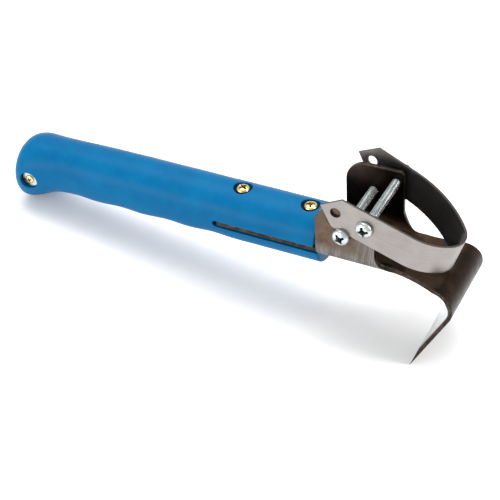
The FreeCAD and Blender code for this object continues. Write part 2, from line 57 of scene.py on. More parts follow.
# Handle
GRIP_RADIUS = 16.4
GRIP_STRAIGHT = 49.0
GRIP_LAST = 174.0
GROOVE_PITCH = 29.75
GROOVE_DEPTH = 0.7
GROOVE_COUNT = 4.0
HEEL_START = 162.0
HEEL_RUN = 30.0
HEEL_DROP = 9.0
TAPER_START = 110.0
TAPER_DROP = 1.2
BUTT_DOME = 19.3
OVER_POWER = 2.7
UNDER_POWER = 5.0
LIP = 2.6
SLIT_DEPTH = 61.0
SLIT_TOP = 1.3
SLIT_BOTTOM = -2.7
SCREWS_AT = {"tang_screw_near": -8.1, "tang_screw_far": -48.8}
COUNTERBORE_RADIUS = 5.4
COUNTERBORE_FLOOR = 14.4
BUTT_RECESS = (-180.5, -4.0)
BUTT_FLOOR = 14.9

# Bent plate
PLATE = 2.5
PLATE_EDGE = 0.3
TANG_END = -58.0
TANG_HALF = 16.2
STRIP_HALF = 17.4
CHANNEL_HALF = 22.0
CHANNEL_BEND = 9.0
FLANGE_LEFT = 4.2
FLANGE_RIGHT = 37.8
FLANGE_TOP = 36.2
FLANGE_CORNER = 12.0
FLANGE_SMALL_CORNER = 2.5
FLANGE_FILLET = 10.0
BEND_FADE = (41.0, 55.0)
RELIEF_RUN = 1.5
RELIEF_HALF = 13.4
SLOPE_START = 52.0
SLOPE = math.radians(7.0)
SLOPE_BEND = 12.0
SHOULDER_RADIUS = 11.0
BLADE_LEAN = math.radians(29.0)
EDGE_AT = (60.0, -54.6)
BEVEL_LENGTH = 14.0
EDGE_LAND = 0.15
FLARE_START = 46.3
FLARE_END = 70.0
FLARE_RADIUS = 67.0
SHOULDER_HALF = 23.8
BLADE_HALF = 25.2
TANG_HOLE_RADIUS = 2.2
FLANGE_HOLE_RADIUS = 2.6

# Loop band
BAND = 1.4
BAND_EDGE = 0.18
BAND_HALF = 9.85
BAND_DROOP = math.radians(18.5)
BAND_FRONT = -23.5
FRONT_REACH = 24.0
BAND_BENDS = ((28.0, 45.0), (13.2, 84.0), (60.0, 43.0))
TAB_TIP = 26.2
TAB_SHOULDER = 16.6
TAB_HOLE = 17.2
TAB_HOLE_RADIUS = 2.9
PIVOT_HOLE_RADIUS = 2.5

# Where the bolts stand
BOLT_SEAT = 23.6
CLAMP_AT = (20.1, 20.4)
PIVOT_AT = (33.2, 29.1)
CLAMP_LENGTH = 45.0
PIVOT_LENGTH = 58.5
FRONT_NUT_AT = -19.5
PIVOT_WASHER_AT = 26.0
PIVOT_NUT_AT = 27.0

# Screws: a cross is the span, depth and width of its slots, and a thread is its depth, its
# pitch and how much of the radius its tip loses.
BOLT = {
    "head": (4.75, 3.5),
    "cross": (6.6, 2.3, 1.45),
    "shank": 2.45,
    "thread": (0.26, 0.8, 0.0),
}
GRIP_SCREW = {
    "head": (3.8, 2.4),
    "cross": (5.6, 1.8, 1.25),
    "shank": 1.95,
    "thread": (0.45, 1.4, 0.55),
}
BUTT_SCREW = {
    "head": (2.6, 1.2),
    "cross": (2.9, 0.9, 0.8),
    "shank": 1.95,
    "thread": (0.45, 1.4, 0.55),
}
GRIP_SCREW_LENGTH = 22.0
BUTT_SCREW_LENGTH = 16.0

# A pan head: the share of its height under the crown, and the two powers that round it.
RIM_SHARE = 0.34
CROWN_OUT = 0.75
CROWN_UP = 1.15

# Nuts and washers
NUT_ACROSS = 8.0
NUT_HEIGHT = 4.0
NUT_CHAMFER = 0.42
NUT_CHAMFER_SLOPE = 1.4
NUT_BORE = 2.47
NUT_SINK = 2.95
NUT_SINK_DEPTH = 0.5
WASHER_RADIUS = 5.0
WASHER_HOLE = 2.6
WASHER_THICK = 1.0
BUTT_WASHER_HOLE = 2.1
BUTT_WASHER_THICK = 1.2
WASHER_LIP = 0.18

# Colours of the grip
GRIP_DEEP = (0.0, 0.092, 0.232)
GRIP_MAIN = (0.0, 0.118, 0.275)
GRIP_CLOUD = (0.0, 0.150, 0.315)
GRIP_SCUFF = (0.0, 0.20, 0.38)
# Painted shade for the grip's slit and counterbores
GRIP_RECESS_SHADE = (0.0, 0.008, 0.022)

# Colours of the bent plate
OXIDE_DARK = (0.011, 0.006, 0.0035)
OXIDE = (0.022, 0.012, 0.007)
OXIDE_LIGHT = (0.042, 0.024, 0.015)
OXIDE_STAIN = (0.014, 0.010, 0.009)
# Painted shade for the inside of the channel
CHANNEL_SHADE = (0.007, 0.005, 0.0045)
# Painted sheen, a reflection, high on the back flange
BACK_FLANGE_SHEEN = (0.085, 0.055, 0.042)
FLANGE_BROWN = (0.082, 0.052, 0.037)
FLANGE_TAN = (0.135, 0.098, 0.072)
GROUND_DARK = (0.105, 0.095, 0.080)
GROUND_GREY_AND_SHEEN = (0.17, 0.163, 0.150)
GROUND_BRIGHT_AND_SHEEN = (0.30, 0.30, 0.285)
BLADE_GREY = (0.33, 0.35, 0.36)
BLADE_BRIGHT = (0.62, 0.63, 0.64)
BLADE_SPECK = (0.08, 0.07, 0.065)
RIM_SCALE = (0.030, 0.022, 0.018)
RIM_WORN = (0.13, 0.11, 0.095)

# Colours of the loop
STRIP_GREY = (0.235, 0.214, 0.200)
STRIP_PALE = (0.320, 0.295, 0.280)
STRIP_GRAIN = (0.375, 0.350, 0.335)
STRIP_SPECK = (0.14, 0.10, 0.085)
STRIP_RIM = (0.055, 0.045, 0.043)
TEMPER_BLACK = (0.050, 0.048, 0.045)
TEMPER_BROWN = (0.070, 0.065, 0.060)
TEMPER_BLUE = (0.060, 0.070, 0.086)
# Painted light for the strip's tabs
TAB_PAINTED_LIGHT = (0.180, 0.165, 0.155)

# Colours of the plating and the floor
ZINC_DARK = (0.42, 0.47, 0.47)
ZINC_LIGHT = (0.66, 0.70, 0.70)
YELLOW_DARK = (0.62, 0.42, 0.14)
YELLOW_LIGHT = (0.92, 0.74, 0.38)
PAPER_DARK = (0.91, 0.91, 0.91)
PAPER_LIGHT = (0.94, 0.94, 0.94)

# Round sections, and places this near are one place
GRIP_SEGMENTS = 192
ROUND_SEGMENTS = 96
NEAR = 1e-4


# ---------------------------------------------------------------- mesh helpers


def new_piece(name, mesh, material, body, nodes):
    """Put a finished mesh in the scene, riding on its body, in place of its CAD nodes."""
    piece = bpy.data.objects.new(name, mesh)
    bpy.context.scene.collection.objects.link(piece)
    mesh.materials.clear()
    mesh.materials.append(material)
    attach(piece, body)
    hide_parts(*nodes)


def mesh_from(name, vertices, faces, place):
    """A mesh from points in a frame of their own, moved by place."""
    mesh = bpy.data.meshes.new(name)
    mesh.from_pydata([place @ Vector(v) for v in vertices], [], faces)
    mesh.validate()
    return mesh


def tube_mesh(name, rings, place):
    """Rings of equal length joined by quads, with each end closed by a fan to its middle."""
    count = len(rings[0])
    vertices = [v for ring in rings for v in ring]
    faces = []
    for row in range(len(rings) - 1):
        for column in range(count):
            following = (column + 1) % count
            a = row * count + column
            b = row * count + following
            faces.append((a, b, b + count, a + count))
    last = (len(rings) - 1) * count
    for ring, start, flip in ((rings[0], 0, True), (rings[-1], last, False)):
        middle = len(vertices)
        vertices.append(sum((Vector(v) for v in ring), Vector()) / count)
        for column in range(count):
            following = (column + 1) % count
            fan = (start + column, start + following, middle)
            faces.append(fan[::-1] if flip else fan)
    return mesh_from(name, vertices, faces, place)


def circle(radius, height, segments, start=0.0):
    """Points evenly round a level circle, from the start angle on."""
    points = []
    for step in range(segments):
        angle = 2 * math.pi * step / segments + start
        points.append((radius * math.cos(angle), radius * math.sin(angle), height))
    return points


def turned_mesh(name, profile, segments, place):
    """A profile of (radius, height) turned round Z, with both its ends closed."""
    rings = [circle(max(radius, NEAR), height, segments) for radius, height in profile]
    return tube_mesh(name, rings, place)


def ring_mesh(name, rings, place):
    """A closed ring, such as a washer: circles joined by quads, the last one to the first."""
    count = len(rings[0])
    vertices = [v for ring in rings for v in ring]
    faces = []
    for row in range(len(rings)):
        below = (row + 1) % len(rings)
        for column in range(count):
            following = (column + 1) % count
            a = row * count
            b = below * count
            faces.append((a + column, a + following, b + following, b + column))
    return mesh_from(name, vertices, faces, place)


def fix_normals(mesh):
    """Turn every face of a closed mesh outwards."""
    work = bmesh.new()
    work.from_mesh(mesh)
    bmesh.ops.recalc_face_normals(work, faces=work.faces)
    work.to_mesh(mesh)
    work.free()


def shade(mesh, angle):
    """Smooth shading with a crease at every edge sharper than the angle."""
    fix_normals(mesh)
    for polygon in mesh.polygons:
        polygon.use_smooth = True
    mesh.set_sharp_from_angle(angle=math.radians(angle))


def cut(mesh, cutters):
    """Take the cutters' volume out of the mesh and return the new mesh."""
    body = bpy.data.objects.new("cut_body", mesh)
    bpy.context.scene.collection.objects.link(body)
    helpers = []
    for number, cutter in enumerate(cutters):
        fix_normals(cutter)
        helper = bpy.data.objects.new(f"cutter_{number}", cutter)
        bpy.context.scene.collection.objects.link(helper)
        helpers.append(helper)
        boolean = body.modifiers.new(f"cut_{number}", "BOOLEAN")
        boolean.operation = "DIFFERENCE"
        boolean.solver = "EXACT"
        boolean.object = helper
    fix_normals(mesh)
    bpy.context.view_layer.update()
    graph = bpy.context.evaluated_depsgraph_get()
    result = bpy.data.meshes.new_from_object(body.evaluated_get(graph))
    for helper in (body, *helpers):
        data = helper.data
        bpy.data.objects.remove(helper)
        bpy.data.meshes.remove(data)
    return result


def mark(mesh, name, measure, place):
    """Keep a number for each vertex, worked out from its place in the piece's own frame."""
    back = place.inverted()
    attribute = mesh.attributes.new(name, "FLOAT", "POINT")
    values = [measure(back @ vertex.co) for vertex in mesh.vertices]
    attribute.data.foreach_set("value", values)


def clamped(value):
    """The value, held between 0 and 1."""
    return min(1.0, max(0.0, value))


def arc_points(middle, radius, first, last, steps):
    """Points on an arc from one angle in degrees to another."""
    points = []
    for step in range(steps + 1):
        angle = math.radians(first + (last - first) * step / steps)
        points.append((middle[0] + radius * math.cos(angle), middle[1] + radius * math.sin(angle)))
    return points


# ---------------------------------------------------------------- handle


def grip_over(place):
    """Height of the grip's back above the axis, this far from the end face."""
    if place < TAPER_START:
        return GRIP_RADIUS
    part = (place - TAPER_START) / (GRIP_LAST - TAPER_START)
    return GRIP_RADIUS - TAPER_DROP * part * part


def grip_under(place):
    """Depth of the grip's belly under the axis: finger grooves, and then the heel."""
    depth = GRIP_RADIUS
    turn = (place - GRIP_STRAIGHT) / GROOVE_PITCH
    if 0.0 < turn < GROOVE_COUNT:
        depth -= GROOVE_DEPTH * (1.0 - math.cos(turn * 2 * math.pi)) / 2
    if place > HEEL_START:
        rise = (place - HEEL_START) / HEEL_RUN
        depth += HEEL_DROP * (1.0 - math.cos(rise * math.pi)) / 2
    return depth


def grip_round(place, share):
    """Height of the section's middle, and its radius."""
    over = grip_over(min(place, GRIP_LAST))
    over *= (1.0 - share**OVER_POWER) ** (1.0 / OVER_POWER)
    under = grip_under(place) * (1.0 - share**UNDER_POWER) ** (1.0 / UNDER_POWER)
    return (over - under) / 2, (over + under) / 2


def grip_sunk(point):
    """How deep a point lies in one of the grip's recesses: 0 on its skin, 1 well inside.
    The end face and the butt's last tenth have no recess."""
    place = -point.x
    share = clamped((place - GRIP_LAST) / BUTT_DOME)
    if place < 0.05 or share > 0.9:
        return 0.0
    middle, radius = grip_round(place, share)
    skin = 0.1
    deep = 1.4
    return clamped((radius - math.hypot(point.y, point.z - middle) - skin) / deep)


def grip_ring(place, share=0.0, shrink=0.0):
    """One round section of the grip; share is how far into the rounded butt it is."""
    middle, radius = grip_round(place, share)
    radius -= shrink
    ring = []
    for step in range(GRIP_SEGMENTS):
        angle = 2 * math.pi * step / GRIP_SEGMENTS
        ring.append((-place, radius * math.cos(angle), middle + radius * math.sin(angle)))
    return ring


def counterbore_cutter(name, place, floor):
    """A counterbore with an eased foot, a small countersink and the screw's own hole."""
    radius = COUNTERBORE_RADIUS
    foot = 0.35
    ease = 0.1
    hole = 2.0
    sink = 0.4
    bottom = floor - 24.0
    top = 26.0
    profile = (
        (0.0, bottom),
        (hole, bottom),
        (hole, floor - 0.5),
        (hole + sink, floor),
        (radius - foot, floor),
        (radius - ease, floor + ease),
        (radius, floor + foot),
        (radius, top),
        (0.0, top),
    )
    return turned_mesh(name, profile, 72, place)


def slit_cutter():
    """The flat slit with its rounded inner end, and the step above the lip."""
    radius = (SLIT_TOP - SLIT_BOTTOM) / 2
    middle = (SLIT_TOP + SLIT_BOTTOM) / 2
    inner = SLIT_DEPTH - radius
    clear = 24.0
    ease = 0.7
    side = [(LIP + 2.0, SLIT_BOTTOM), (LIP + 2.0, clear), (0.0, clear)]
    side += arc_points((-ease, SLIT_TOP + ease), ease, 0, -90, 4)
    side += arc_points((-inner, middle), radius, 90, 270, 12)
    rings = [[(x, y, z) for x, z in side] for y in (-clear, clear)]
    return tube_mesh("slit", rings, TOOL)


def grip_stations():
    """Rings along the grip: a rounded lip edge, the grooves and heel, and the butt."""
    edge = 1.3
    edge_steps = 7
    apart = 1.2
    dome_steps = 60
    rings = []
    for step in range(edge_steps, -1, -1):
        angle = math.pi / 2 * step / edge_steps
        place = -LIP + edge * (1.0 - math.sin(angle))
        rings.append(grip_ring(place, shrink=edge * (1.0 - math.cos(angle))))
    place = -LIP + edge + apart
    while place < GRIP_LAST - apart / 2:
        rings.append(grip_ring(place))
        place += apart
    for step in range(dome_steps):
        share = math.sin(math.pi / 2 * step / dome_steps)
        rings.append(grip_ring(GRIP_LAST + BUTT_DOME * share, share))
    return rings


def make_handle(material):
    mesh = tube_mesh("grip", grip_stations(), TOOL)
    cutters = [slit_cutter()]
    for name, across in SCREWS_AT.items():
        place = TOOL @ Matrix.Translation((across, 0, 0))
        cutters.append(counterbore_cutter(name, place, COUNTERBORE_FLOOR))
    across, up = BUTT_RECESS
    place = TOOL @ Matrix.Translation((across, 0, up)) @ Matrix.Rotation(math.pi / 2, 4, "X")
    cutters.append(counterbore_cutter("butt", place, BUTT_FLOOR))
    mesh = cut(mesh, cutters)
    mesh.name = "grip"
    shade(mesh, 35.0)
    mark(mesh, "sunk", grip_sunk, TOOL)
    new_piece("grip", mesh, material, "tool", ["handle"])


# ---------------------------------------------------------------- plates


class Path:
    """A line of straight runs and arcs in a plane. A leg is (length, turn), and turn is the
    arc's angle to the left, or zero on a straight run."""

    def __init__(self, start, legs):
        self.legs = []
        self.length = 0.0
        x, y = start
        heading = 0.0
        for length, turn in legs:
            self.legs.append((self.length, length, turn, x, y, heading))
            x, y, heading = self.step(x, y, heading, length, turn, length)
            self.length += length

    @staticmethod
    def step(x, y, heading, length, turn, run):
        """Place and heading this far along a leg that starts at x, y."""
        if not turn:
            return x + run * math.cos(heading), y + run * math.sin(heading), heading
        radius = length / turn
        after = heading + run / radius
        x += radius * (math.sin(after) - math.sin(heading))
        y -= radius * (math.cos(after) - math.cos(heading))
        return x, y, after

    def at(self, run):
        """Place and heading this far along the line."""
        leg = self.legs[0]
        for other in self.legs[1:]:
            if run >= other[0]:
                leg = other
        start, length, turn, x, y, heading = leg
        return self.step(x, y, heading, length, turn, run - start)

    def start_of(self, number):
        """How far along the line a leg starts."""
        return self.legs[number][0]


def slab_mesh(name, outline, thick):
    """A flat blank: the outline at both faces, and the rim between them."""
    count = len(outline)
    vertices = [(x, y, z) for z in (-thick / 2, thick / 2) for x, y in outline]
    faces = [tuple(reversed(range(count))), tuple(range(count, 2 * count))]
    for number in range(count):
        following = (number + 1) % count
        faces.append((number, following, following + count, number + count))
    return mesh_from(name, vertices, faces, Matrix.Identity(4))


def pierced(name, outline, holes, thick):
    """The flat blank with its round holes, each given as its place and radius."""
    cutters = []
    for number, (x, y, radius) in enumerate(holes):
        profile = ((0.0, -thick), (radius, -thick), (radius, thick), (0.0, thick))
        at = Matrix.Translation((x, y, 0))
        cutters.append(turned_mesh(f"{name}_hole_{number}", profile, 48, at))
    return cut(slab_mesh(name, outline, thick), cutters)


def break_edges(work, size):
    """Round every edge between the blank's faces and its rim, holes included."""
    rim_angle = math.radians(40)
    rims = []
    for line in work.edges:
        level = abs(line.verts[0].co.z - line.verts[1].co.z) < NEAR
        if level and len(line.link_faces) == 2 and line.calc_face_angle() > rim_angle:
            rims.append(line)
    bmesh.ops.bevel(
        work,
        geom=rims,
        offset=size,
        offset_type="OFFSET",
        segments=3,
        profile=0.5,
        affect="EDGES",
    )


def divide(work, lines):
    """Split the blank's faces along each bend line, so that it can bend there."""
    wide = [face for face in work.faces if len(face.verts) > 4]
    bmesh.ops.triangulate(work, faces=wide)
    for direction, places in zip((Vector((1, 0, 0)), Vector((0, 1, 0))), lines):
        for line in places:
            geometry = work.verts[:] + work.edges[:] + work.faces[:]
            bmesh.ops.bisect_plane(
                work,
                geom=geometry,
                dist=NEAR,
                plane_co=direction * line,
                plane_no=direction,
            )


def keep_sides(work, thick):
    """Keep which points are on the rim (rim 1), and how far each is through the thickness
    (side, from -1 to 1), for the materials to read after the bending."""
    work.normal_update()
    rim = work.verts.layers.float.new("rim")
    side = work.verts.layers.float.new("side")
    flat = 0.95
    for face in work.faces:
        if abs(face.normal.z) < flat:
            for vertex in face.verts:
                vertex[rim] = 1.0
    for vertex in work.verts:
        vertex[side] = vertex.co.z * 2 / thick


def bent_plate(name, outline, holes, thick, edge, lines, bend, place):
    """A sheet metal part, made the real way: a blank with its holes, its edges broken, and
    then bent. lines are the places of the bend lines along and across the blank."""
    mesh = pierced(name, outline, holes, thick)
    work = bmesh.new()
    work.from_mesh(mesh)
    bmesh.ops.remove_doubles(work, verts=work.verts, dist=NEAR)
    break_edges(work, edge)
    divide(work, lines)
    keep_sides(work, thick)
    for vertex in work.verts:
        vertex.co = place @ Vector(bend(*vertex.co))
    work.to_mesh(mesh)
    work.free()
    shade(mesh, 35.0)
    return mesh


def steps_between(first, last, step):
    """Evenly spaced places from first to last, no further apart than the step."""
    count = max(1, math.ceil((last - first) / step))
    return [first + (last - first) * number / count for number in range(count + 1)]


def plate_path():
    """The middle of the plate from the tang's end, down over the shoulder, to the edge."""
    half = PLATE / 2
    run = EDGE_AT[0] - SLOPE_START
    rise = half - math.tan(SLOPE) * run - EDGE_AT[1]
    reach = rise / (math.cos(BLADE_LEAN) + math.tan(SLOPE) * math.sin(BLADE_LEAN))
    corner_x = EDGE_AT[0] + reach * math.sin(BLADE_LEAN)
    turn = math.pi / 2 - SLOPE + BLADE_LEAN
    setback = SHOULDER_RADIUS * math.tan(turn / 2)
    bend_x = corner_x - setback * math.cos(SLOPE) - half * math.sin(SLOPE)
    first_x = SLOPE_START - half * math.tan(SLOPE / 2)
    first_setback = SLOPE_BEND * math.tan(SLOPE / 2)
    legs = (
        (first_x - first_setback - TANG_END, 0.0),
        (SLOPE_BEND * SLOPE, -SLOPE),
        ((bend_x - first_x) / math.cos(SLOPE) - first_setback, 0.0),
        ((SHOULDER_RADIUS - half) * turn, -turn),
        (reach - setback, 0.0),
    )
    return Path((TANG_END, 0.0), legs)


PLATE_PATH = plate_path()
PLATE_END = TANG_END + PLATE_PATH.length
SHOULDER_START = TANG_END + PLATE_PATH.start_of(3)
SHOULDER_END = TANG_END + PLATE_PATH.start_of(4)
BEND_START = CHANNEL_HALF - CHANNEL_BEND
BEND_MIDDLE = CHANNEL_BEND - PLATE / 2
BEND_END = BEND_START + BEND_MIDDLE * math.pi / 2


def flange_flat(height):
    """How far from the middle line of the blank a place at this height on a flange is."""
    if height < BEND_MIDDLE:
        return BEND_START + BEND_MIDDLE * math.acos(1.0 - height / BEND_MIDDLE)
    return BEND_END + height - BEND_MIDDLE


def plate_bend(along, across, thick):
    """Where a point of the plate's blank goes. The blade is ground thin to its edge, the
    channel's bends fade out behind the flanges, and the tang in front stays flat."""
    half = PLATE / 2
    ground = along - (PLATE_END - BEVEL_LENGTH)
    if ground > 0.0:
        left = 1.0 - ground / BEVEL_LENGTH * (1.0 - EDGE_LAND / PLATE)
        thick = half - (half - thick) * left
    y = abs(across)
    up = 0.0
    lean = 0.0
    fade = clamped((along - BEND_FADE[0]) / (BEND_FADE[1] - BEND_FADE[0]))
    bend = 1.0 - fade * fade * (3.0 - 2.0 * fade)
    if along < FLANGE_LEFT - 0.01:
        bend = 0.0
    if y > BEND_START and bend > 1e-3:
        curl = BEND_MIDDLE / bend
        lean = min((y - BEND_START) / curl, math.pi / 2)
        up = curl * (1.0 - math.cos(lean)) + max(0.0, y - BEND_START - curl * math.pi / 2)
        y = BEND_START + curl * math.sin(lean)
    x, z, heading = PLATE_PATH.at(along - TANG_END)
    off = up + thick * math.cos(lean)
    y = math.copysign(y - thick * math.sin(lean), across)
    return x - math.sin(heading) * off, y, z + math.cos(heading) * off


def plate_side():
    """One long side of the plate's blank, from the tang's end to the blade's edge."""
    top = flange_flat(FLANGE_TOP)
    foot = BEND_MIDDLE * (1.0 - math.cos((STRIP_HALF - BEND_START) / BEND_MIDDLE))
    side = [(TANG_END, TANG_HALF)]
    side.append((FLANGE_LEFT - RELIEF_RUN, TANG_HALF))
    side.append((FLANGE_LEFT, RELIEF_HALF))
    middle = (FLANGE_LEFT + FLANGE_CORNER, top - FLANGE_CORNER)
    side += arc_points(middle, FLANGE_CORNER, 180, 90, 16)
    middle = (FLANGE_RIGHT - FLANGE_SMALL_CORNER, top - FLANGE_SMALL_CORNER)
    side += arc_points(middle, FLANGE_SMALL_CORNER, 90, 0, 6)
    middle = (FLANGE_RIGHT + FLANGE_FILLET, foot + FLANGE_FILLET)
    side += [(x, flange_flat(z)) for x, z in arc_points(middle, FLANGE_FILLET, 180, 270, 18)]
    for x in steps_between(FLANGE_RIGHT + FLANGE_FILLET + 1.5, FLARE_END, 2.0):
        rise = FLARE_RADIUS - math.sqrt(FLARE_RADIUS**2 - (x - FLARE_START) ** 2)
        side.append((x, STRIP_HALF + rise))
    side.append(((SHOULDER_START + SHOULDER_END) / 2, SHOULDER_HALF))
    side.append((PLATE_END, BLADE_HALF))
    return side


def make_frame(material):
    side = plate_side()
    outline = [(x, -y) for x, y in side] + [(x, y) for x, y in reversed(side)]
    holes = [(across, 0.0, TANG_HOLE_RADIUS) for across in SCREWS_AT.values()]
    for x, z in (CLAMP_AT, PIVOT_AT):
        for hand in (-1, 1):
            holes.append((x, hand * flange_flat(z), FLANGE_HOLE_RADIUS))
    along = steps_between(TANG_END + 2.0, PLATE_END - 2.0, 2.0)
    along += steps_between(BEND_FADE[0] - 0.5, BEND_FADE[1] + 0.5, 1.0)
    along += steps_between(SHOULDER_START, SHOULDER_END, 0.6)
    across = steps_between(-BEND_START, BEND_START, 2.2)
    flange_end = flange_flat(FLANGE_TOP) - 1.0
    for hand in (-1, 1):
        across += [hand * y for y in steps_between(BEND_START, BEND_END, 0.8)[1:]]
        across += [hand * y for y in steps_between(BEND_END, flange_end, 2.2)[1:]]
    lines = (along, across)
    mesh = bent_plate(
        "frame_plate", outline, holes, PLATE, PLATE_EDGE, lines, plate_bend, TOOL
    )
    new_piece("frame_plate", mesh, material, "tool", ["hook_frame"])


def band_path():
    """The middle of the band, seen along its width, from the front tab to the back tab, and
    how much shorter the slanting back tab is when measured along the tool."""
    legs = [(TAB_TIP + FRONT_REACH, 0.0)]
    heading = 0.0
    x = FRONT_REACH
    for radius, turn in BAND_BENDS:
        turn = math.radians(turn)
        middle = radius - BAND / 2
        legs.append((middle * turn, turn))
        x += middle * (math.sin(heading + turn) - math.sin(heading))
        heading += turn
    legs.append((-(x + TAB_TIP) / math.cos(heading), 0.0))
    return Path((-TAB_TIP, BAND_FRONT + BAND / 2), legs), -math.cos(heading)


def make_band(material):
    path, slant = band_path()
    end = path.length

    def band_bend(along, across, thick):
        """Where a point of the band's blank goes."""
        x, y, heading = path.at(along)
        return x + math.sin(heading) * thick, y - math.cos(heading) * thick, across

    point = TAB_TIP - TAB_SHOULDER
    back_point = end - point / slant
    outline = [(0.0, 0.0), (point, -BAND_HALF), (back_point, -BAND_HALF)]
    outline += [(end, 0.0), (back_point, BAND_HALF), (point, BAND_HALF)]
    holes = []
    for run, radius in ((TAB_TIP, PIVOT_HOLE_RADIUS), (TAB_TIP - TAB_HOLE, TAB_HOLE_RADIUS)):
        holes.append((run, 0.0, radius))
        holes.append((end - run / slant, 0.0, radius))
    bends = (path.start_of(1), path.start_of(4))
    along = steps_between(2.0, bends[0], 2.5)
    along += steps_between(*bends, 0.9)
    along += steps_between(bends[1], end - 2.0, 2.5)
    lines = (along, steps_between(-BAND_HALF + 1.5, BAND_HALF - 1.5, 1.7))
    at_pivot = Matrix.Translation((PIVOT_AT[0], 0, PIVOT_AT[1]))
    place = TOOL @ at_pivot @ Matrix.Rotation(BAND_DROOP, 4, "Y")
    mesh = bent_plate("loop_strip", outline, holes, BAND, BAND_EDGE, lines, band_bend, place)
    new_piece("loop_strip", mesh, material, "loop", ["loop_band"])


# ---------------------------------------------------------------- fasteners


def pan_head(radius, height):
    """Profile of a pan head from its rim up to its crown."""
    points = [(radius * 0.94, 0.0), (radius, height * 0.07), (radius, height * RIM_SHARE)]
    steps = 14
    for step in range(1, steps):
        angle = math.pi / 2 * step / steps
        up = RIM_SHARE + (1.0 - RIM_SHARE) * math.sin(angle) ** CROWN_UP
        points.append((radius * math.cos(angle) ** CROWN_OUT, height * up))
    points.append((0.0, height))
    return points


def screw_sunk(kind):
    """How deep a point of a screw lies in its cross recess or between its threads."""
    radius, height = kind["head"]
    thread = kind["thread"][0]

    def measure(point):
        out = math.hypot(point.x, point.y)
        if point.z < 0.05:
            return 0.16 + 0.3 * clamped((kind["shank"] - out) / thread)
        if out > radius * 0.8:
            return 0.0
        angle = math.acos(clamped(out / radius) ** (1 / CROWN_OUT))
        up = RIM_SHARE + (1.0 - RIM_SHARE) * math.sin(angle) ** CROWN_UP
        return clamped((height * up - point.z - 0.04) / 0.5)

    return measure


def cross_cutter(name, top, cross, place):
    """A cross recess: two tapering slots at right angles that meet in a pointed bottom."""
    span, depth, width = cross
    meshes = []
    for number in range(2):
        rings = []
        for height, share in ((top + 1.0, 1.12), (top - 0.2, 1.0), (top - depth, 0.42)):
            half = span / 2 * share
            thin = width / 2 * (0.55 + 0.45 * share)
            corners = ((-half, -thin), (half, -thin), (half, thin), (-half, thin))
            rings.append([(x, y, height) for x, y in corners])
        turn = Matrix.Rotation(math.pi / 2 * number, 4, "Z")
        meshes.append(tube_mesh(f"{name}_{number}", rings, place @ turn))
    funnel = (
        (0.0, top - depth - 0.4),
        (span * 0.24, top - depth * 0.45),
        (span * 0.3, top + 1.0),
        (0.0, top + 1.0),
    )
    meshes.append(turned_mesh(f"{name}_funnel", funnel, 32, place))
    return meshes


def thread_mesh(name, radius, thread, length, place):
    """A shank with a helical thread, hanging down from zero to its chamfered tip."""
    depth, pitch, taper = thread
    segments = 40
    rows_per_turn = 8
    chamfer_run = 1.0
    chamfer_depth = 0.5
    flank = 1.35
    root = 0.1
    rows = int(length / pitch * rows_per_turn)
    rings = []
    for row in range(rows + 1):
        height = -length * row / rows
        chamfer = 1.0 - min(1.0, (length + height) / chamfer_run)
        ring = []
        for step in range(segments):
            turn = step / segments
            phase = (height / pitch + turn) % 1.0
            crest = clamped(abs(phase * 2.0 - 1.0) * flank - root)
            local = radius - depth * (1.0 - crest)
            local *= 1.0 - taper * (row / rows) ** 3
            local -= chamfer_depth * chamfer
            angle = 2 * math.pi * turn
            ring.append((local * math.cos(angle), local * math.sin(angle), height))
        rings.append(ring)
    return tube_mesh(name, rings, place)


def joined(name, meshes):
    """One mesh from several, each kept as its own closed shell."""
    work = bmesh.new()
    for mesh in meshes:
        work.from_mesh(mesh)
        bpy.data.meshes.remove(mesh)
    result = bpy.data.meshes.new(name)
    work.to_mesh(result)
    work.free()
    return result


def make_screw(node, kind, length, turned, place, material):
    """A pan head with its cross recess turned this far, and a threaded shank under it."""
    radius, height = kind["head"]
    inside = 0.3
    profile = [(0.0, 0.0)] + pan_head(radius, height)
    head = turned_mesh(f"{node}_head", profile, ROUND_SEGMENTS, place)
    spin = place @ Matrix.Rotation(math.radians(turned), 4, "Z")
    head = cut(head, cross_cutter(f"{node}_cross", height, kind["cross"], spin))
    start = place @ Matrix.Translation((0, 0, inside))
    shank = thread_mesh(f"{node}_thread", kind["shank"], kind["thread"], length + inside, start)
    mesh = joined(f"{node}_screw", [head, shank])
    shade(mesh, 34.0)
    mark(mesh, "sunk", screw_sunk(kind), place)
    new_piece(f"{node}_screw", mesh, material, "tool", [node])


def facing(at, y, way):
    """A place on the tool where a turned piece's Z points to the back (1) or the front (-1)."""
    shift = Matrix.Translation((at[0], y, at[1]))
    return TOOL @ shift @ Matrix.Rotation(-way * math.pi / 2, 4, "X")


def make_nut(node, at, start, material):
    """A hex nut: six flats, corners turned down at both faces, and a countersunk hole."""
    half = NUT_ACROSS / 2
    corner = half / math.cos(math.pi / 6)
    rings = []
    for height, drop in (
        (0.0, NUT_CHAMFER),
        (NUT_CHAMFER, 0.0),
        (NUT_HEIGHT - NUT_CHAMFER, 0.0),
        (NUT_HEIGHT, NUT_CHAMFER),
    ):
        ring = []
        for x, y, z in circle(1.0, height, ROUND_SEGMENTS, math.pi / 6):
            turned = math.atan2(y, x) % (math.pi / 3) - math.pi / 6
            radius = min(half / math.cos(turned), corner - drop * NUT_CHAMFER_SLOPE)
            ring.append((radius * x, radius * y, z))
        rings.append(ring)
    for height, radius in (
        (NUT_HEIGHT, NUT_SINK),
        (NUT_HEIGHT - NUT_SINK_DEPTH, NUT_BORE),
        (NUT_SINK_DEPTH, NUT_BORE),
        (0.0, NUT_SINK),
    ):
        rings.append(circle(radius, height, ROUND_SEGMENTS, math.pi / 6))
    mesh = ring_mesh(f"{node}_hex", rings, facing(at, start, 1))
    shade(mesh, 25.0)
    new_piece(f"{node}_hex", mesh, material, "tool", [node])


